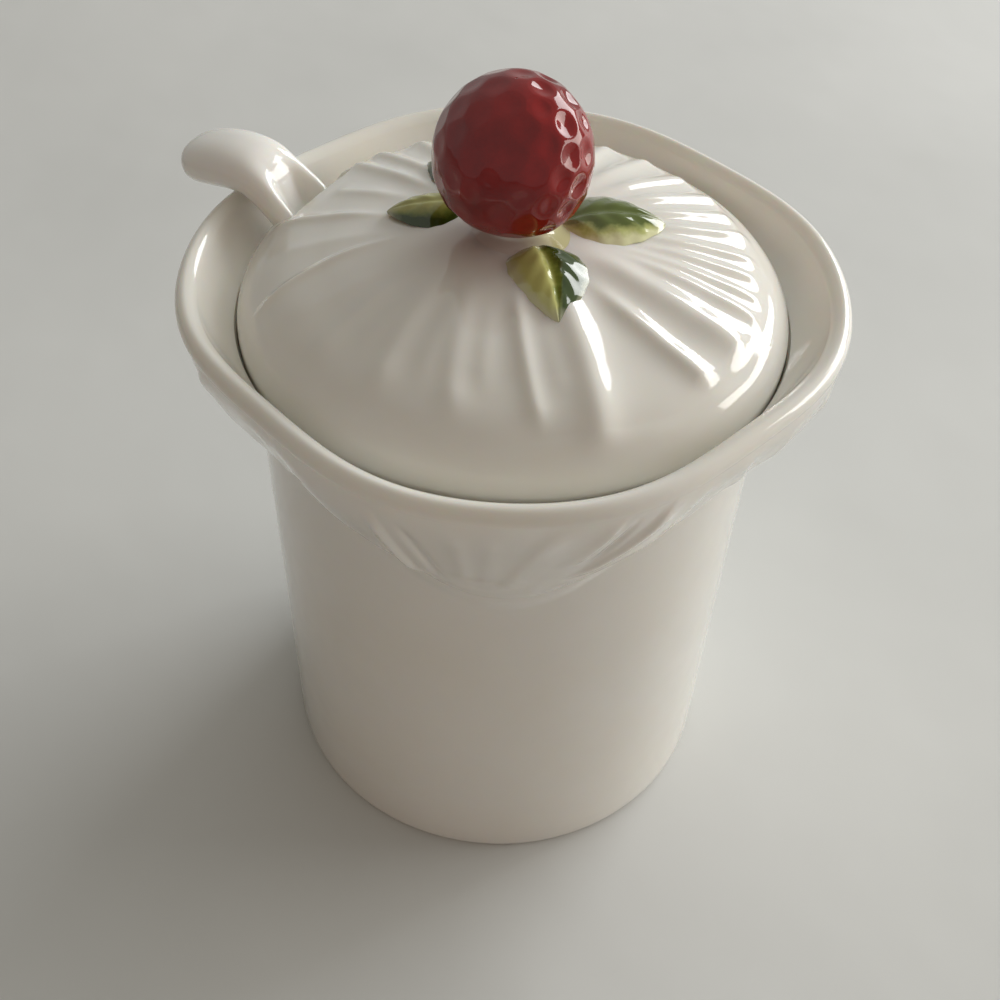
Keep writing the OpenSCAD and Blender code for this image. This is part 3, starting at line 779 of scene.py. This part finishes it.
class Nodes:
    """Short names for the nodes that the materials and the world use."""

    def __init__(self, owner):
        self.owner = owner
        owner.use_nodes = True
        self.tree = owner.node_tree
        self.shader = self.tree.nodes.get("Principled BSDF")

    def add(self, kind, **values):
        node = self.tree.nodes.new("ShaderNode" + kind)
        for key, value in values.items():
            if hasattr(node, key):
                setattr(node, key, value)
            else:
                node.inputs[key].default_value = value
        return node

    def join(self, out, into):
        self.tree.links.new(out, into)

    def put(self, value, socket):
        """Set a number or a colour on a socket, or join another node's output to it."""
        if isinstance(value, (float, int)):
            socket.default_value = value
        elif isinstance(value, tuple):
            socket.default_value = (*value, 1)
        else:
            self.join(value, socket)

    def place(self):
        return self.add("TexCoord").outputs["Object"]

    def noise(self, scale, detail=3.0, roughness=0.5):
        node = self.add("TexNoise", Scale=scale, Detail=detail, Roughness=roughness)
        self.join(self.place(), node.inputs["Vector"])
        return node.outputs["Fac"]

    def ramp(self, value, stops):
        node = self.add("ValToRGB")
        parts = node.color_ramp.elements
        while len(parts) < len(stops):
            parts.new(0.5)
        for part, (at, colour) in zip(parts, stops):
            part.position = at
            part.color = (*colour, 1)
        self.join(value, node.inputs["Fac"])
        return node.outputs["Color"]

    def blend(self, share, a, b):
        node = self.add("MixRGB")
        for value, socket in ((share, "Fac"), (a, "Color1"), (b, "Color2")):
            self.put(value, node.inputs[socket])
        return node.outputs["Color"]

    def maths(self, kind, a, b=0.0, c=0.0):
        node = self.add("Math", operation=kind)
        for k, value in enumerate((a, b, c)):
            self.put(value, node.inputs[k])
        return node.outputs[0]

    def colour(self, tone):
        self.join(tone, self.shader.inputs["Base Color"])

    def roughness(self, scale, detail, spread, least):
        """A roughness that wanders between least and least + spread."""
        value = self.maths("MULTIPLY_ADD", self.noise(scale, detail), spread, least)
        self.join(value, self.shader.inputs["Roughness"])

    def coat(self, weight, roughness):
        self.shader.inputs["Coat Weight"].default_value = weight
        self.shader.inputs["Coat Roughness"].default_value = roughness

    def bump(self, scale, distance, detail=2.0, roughness=0.4):
        """Waviness of the surface, by the given distance in metres."""
        height = self.noise(scale, detail, roughness)
        node = self.add("Bump", Distance=distance, Strength=1.0)
        self.join(height, node.inputs["Height"])
        self.join(node.outputs["Normal"], self.shader.inputs["Normal"])


def new_material(name):
    return Nodes(bpy.data.materials.new(name))


def glaze(name, base, warm):
    """Clear glaze over a cast body: soft mottling, pooled tone, waviness and rare specks."""
    n = new_material(name)
    cloud = n.noise(38, 4.0, 0.55)
    tone = n.blend(n.ramp(cloud, [(0.35, OFF), (0.7, ON)]), base, warm)
    speck = n.add("TexVoronoi", Scale=95)
    n.join(n.place(), speck.inputs["Vector"])
    dot = n.ramp(speck.outputs["Distance"], [(0.035, ON), (0.06, OFF)])
    rare = n.ramp(n.noise(55, 1.0), [(0.66, OFF), (0.7, ON)])
    share = n.maths("MULTIPLY", n.maths("MULTIPLY", dot, rare), 0.55)
    n.colour(n.blend(share, tone, SPECK))
    n.roughness(120, 3.0, 0.07, 0.055)
    n.coat(0.35, 0.04)
    n.shader.inputs["Subsurface Weight"].default_value = 0.3
    n.shader.inputs["Subsurface Scale"].default_value = 3 * MM
    n.shader.inputs["Subsurface Radius"].default_value = (1.0, 0.75, 0.5)
    n.bump(85, 0.12 * MM)
    return n.owner


def berry_glaze():
    n = new_material("berry_glaze")
    n.colour(n.ramp(n.noise(130, 4.0, 0.6), list(zip((0.3, 0.5, 0.72), BERRY_REDS))))
    n.roughness(300, 2.0, 0.05, 0.03)
    n.shader.inputs["Specular IOR Level"].default_value = 0.45
    n.bump(260, 0.08 * MM)
    return n.owner


def stalk_glaze():
    """The lid's glaze with a yellow-green wash on the right and patches of brown painted shade
    under the berry.
    """
    n = new_material("stalk_glaze")
    parts = n.add("SeparateXYZ")
    n.join(n.place(), parts.inputs[0])
    place = n.maths("MULTIPLY_ADD", n.noise(240, 3.0, 0.6), 3 * MM, parts.outputs["X"])
    tone = n.ramp(n.maths("MULTIPLY_ADD", place, 100.0, 0.1), [
        (0.25, STALK_CREAM), (0.5, STALK_PALE), (0.8, STALK_YELLOW)])
    # patches of pinkish brown painted shade, for the shade under the berry
    painted_shade = n.ramp(n.noise(420, 2.0, 0.5), [(0.62, OFF), (0.72, (0.5, 0.5, 0.5))])
    n.colour(n.blend(painted_shade, tone, STALK_PAINTED_SHADE))
    n.roughness(120, 3.0, 0.07, 0.055)
    n.coat(0.35, 0.04)
    n.bump(85, 0.12 * MM)
    return n.owner


def leaf_glaze(name, light, middle, dark, light_edge, dark_edge_highlight, shift):
    """Hand-painted leaf: one half light, one half dark, brush marks, pale edges; pale at the dark
    half's edge is a painted highlight.
    """
    n = new_material(name)
    parts = n.add("SeparateXYZ")
    n.join(n.add("UVMap", uv_map="across_along").outputs["UV"], parts.inputs[0])
    stroke = n.noise(330, 3.0, 0.6)
    shaken = n.maths("MULTIPLY_ADD", stroke, 0.3, shift - 0.15)
    pale = np.array(LEAF_PALE)
    first = tuple(mix(np.array(light), pale, light_edge))
    # pale at the edge of the dark half: a painted highlight where its share is above nought
    last = tuple(mix(np.array(dark), pale, dark_edge_highlight))
    tone = n.ramp(n.maths("ADD", parts.outputs["X"], shaken), [
        (0.02, first), (0.15, light), (0.38, light), (0.48, middle), (0.58, dark), (0.86, dark),
        (0.97, last)])
    ends = n.maths("ADD", parts.outputs["Y"], n.maths("MULTIPLY_ADD", stroke, 0.3, -0.15))
    share = n.ramp(ends, [
        (0.0, (0.5, 0.5, 0.5)), (0.14, OFF), (0.82, OFF), (0.98, (0.6, 0.6, 0.6))])
    n.colour(n.blend(share, tone, LEAF_PALE))
    n.roughness(400, 2.0, 0.05, 0.05)
    n.coat(0.3, 0.03)
    n.bump(420, 0.06 * MM)
    return n.owner


def floor_paper():
    n = new_material("floor_paper")
    n.colour(n.ramp(n.noise(9), list(zip((0.3, 0.7), PAPER))))
    n.shader.inputs["Roughness"].default_value = 0.75
    n.bump(14, 0.8 * MM, 3.0, 0.5)
    return n.owner


def wear(obj, material):
    obj.data.materials.clear()
    obj.data.materials.append(material)


# each piece of the scene with the node that it stands for, its body, its finish and its slot

def build_object():
    ivory = glaze("ivory_glaze", *IVORY)
    cream = stalk_glaze()
    # a lighter copy of the ivory glaze on the spoon: painted light
    lit_ivory = glaze("spoon_glaze_painted_light", *SPOON_IVORY_PAINTED_LIGHT)
    plan = [
        (make_pot(), "pot", "pot", ivory, "ivory_glaze"),
        (make_lid(), "lid", "lid", ivory, "ivory_glaze"),
        (make_stalk(), "stalk", "lid", cream, "stalk_glaze"),
        (make_berry(), "berry", "lid", berry_glaze(), "berry_glaze"),
        (make_spoon(), "spoon", "spoon", lit_ivory, "ivory_glaze")]
    for name in LEAVES:
        paint = leaf_glaze(name + "_glaze", *PAINTS[name])
        plan.append((make_leaf(name), name, "lid", paint, "leaf_glaze"))
    for piece, node, body, material, slot in plan:
        wear(piece, material)
        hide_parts(node)
        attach(piece, body)
        wear(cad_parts[node], material)


# stage, lamps and camera

FLOOR_HALF = 4.0
# soft light of the room, from the front, the top, the back right and high up at the back right:
# where it comes from, its colour and how narrow it is
ROOM = [
    ((0, -1, 0.15), (0.34, 0.25, 0.21), 1.5), ((0, 0, 1), (0.165, 0.165, 0.13), 1.5),
    ((0.7, 0.7, 0.15), (0.2, 0.21, 0.28), 1.5), ((0.45, 0.6, 0.72), (0.66, 0.66, 0.6), 3.0)]
BACKGROUND = (0.5, 0.505, 0.49)
# windows: turn and height in degrees, then power and colour, with their size and distance
WINDOWS = [(15, 11, 8.3, (1.0, 0.97, 0.9)), (45, 22, 10.0, (0.99, 1.0, 1.0))]
WINDOW_W, WINDOW_H, WINDOW_AWAY = 0.8, 0.6, 1.4
WINDOW_TARGET = (0, 0, 70 * MM)
# the photograph's camera: distance and height as an angle, its own turns, lens and sensor in mm
CAMERA_AWAY, CAMERA_LIFT = 249.1 * MM, math.radians(54.09)
CAMERA_TURNS = (-0.211, 7.754, -2.628)
LENS, SENSOR = 45, 36
CAMERA_NEAR = 10 * MM


def build_stage():
    size = FLOOR_HALF
    points = [(-size, -size, 0), (size, -size, 0), (size, size, 0), (-size, size, 0)]
    floor = mesh_object("floor", points, [[0, 1, 2, 3]])
    wear(floor, floor_paper())


def stand(obj, right, up, back, place):
    """Set a lamp or camera into the scene with the given axes."""
    basis = np.column_stack([right, up, back])
    obj.matrix_world = Matrix([[*basis[k], place[k]] for k in range(3)] + [[0, 0, 0, 1]])
    bpy.context.scene.collection.objects.link(obj)


def window_lamp(way, power, colour):
    """An area lamp in the given direction that faces the pot."""
    data = bpy.data.lights.new("window", "AREA")
    data.shape = "RECTANGLE"
    data.size, data.size_y = WINDOW_W, WINDOW_H
    data.energy = power
    data.color = colour
    right = np.cross((0, 0, 1), way)
    right = right / np.linalg.norm(right)
    place = np.array(WINDOW_TARGET) + WINDOW_AWAY * way
    stand(bpy.data.objects.new("window", data), right, np.cross(way, right), way, place)


def build_world():
    """Soft room light; the camera and the reflections see a plain pale background instead."""
    n = Nodes(bpy.data.worlds.new("studio"))
    place = n.add("TexCoord").outputs["Generated"]
    total = None
    for axis, colour, tight in ROOM:
        toward = n.add("VectorMath", operation="DOT_PRODUCT")
        toward.inputs[1].default_value = tuple(np.array(axis) / np.linalg.norm(axis))
        n.join(place, toward.inputs[0])
        share = n.maths("POWER", n.maths("MAXIMUM", toward.outputs["Value"]), tight)
        tint = n.add("VectorMath", operation="SCALE")
        tint.inputs[0].default_value = colour
        n.join(share, tint.inputs["Scale"])
        both = n.add("VectorMath", operation="ADD")
        n.join(tint.outputs[0], both.inputs[1])
        if total is not None:
            n.join(total, both.inputs[0])
        total = both.outputs[0]
    path = n.add("LightPath")
    seen = path.outputs["Is Camera Ray"]
    for kind in ("Is Glossy Ray", "Is Transmission Ray"):
        seen = n.maths("MAXIMUM", seen, path.outputs[kind])
    n.join(n.blend(seen, total, BACKGROUND), n.tree.nodes["Background"].inputs["Color"])
    bpy.context.scene.world = n.owner


def build_light():
    build_world()
    for turn, lift, power, colour in WINDOWS:
        a, e = math.radians(turn), math.radians(lift)
        way = np.array([math.cos(e) * math.cos(a), math.cos(e) * math.sin(a), math.sin(e)])
        window_lamp(way, power, colour)


def build_camera():
    """The photograph's camera: 45 mm lens, steep view from the front."""
    ahead = np.array([0, math.cos(CAMERA_LIFT), -math.sin(CAMERA_LIFT)])
    right = np.array([1.0, 0, 0])
    down = np.cross(ahead, right)
    yaw, pitch, roll = (math.radians(v) for v in CAMERA_TURNS)
    cy, sy = math.cos(yaw), math.sin(yaw)
    cp, sp = math.cos(pitch), math.sin(pitch)
    cr, sr = math.cos(roll), math.sin(roll)
    turn_y = np.array([[cy, 0, -sy], [0, 1, 0], [sy, 0, cy]])
    turn_x = np.array([[1, 0, 0], [0, cp, sp], [0, -sp, cp]])
    turn_z = np.array([[cr, sr, 0], [-sr, cr, 0], [0, 0, 1]])
    view = turn_z @ turn_x @ turn_y @ np.stack([right, down, ahead])
    data = bpy.data.cameras.new("camera")
    data.sensor_width = SENSOR
    data.lens = LENS
    data.clip_start = CAMERA_NEAR
    camera = bpy.data.objects.new("camera", data)
    stand(camera, view[0], -view[1], -view[2], -CAMERA_AWAY * ahead)
    bpy.context.scene.camera = camera


build_camera()
build_stage()
build_light()
build_object()
bpy.context.scene.view_settings.view_transform = "Standard"
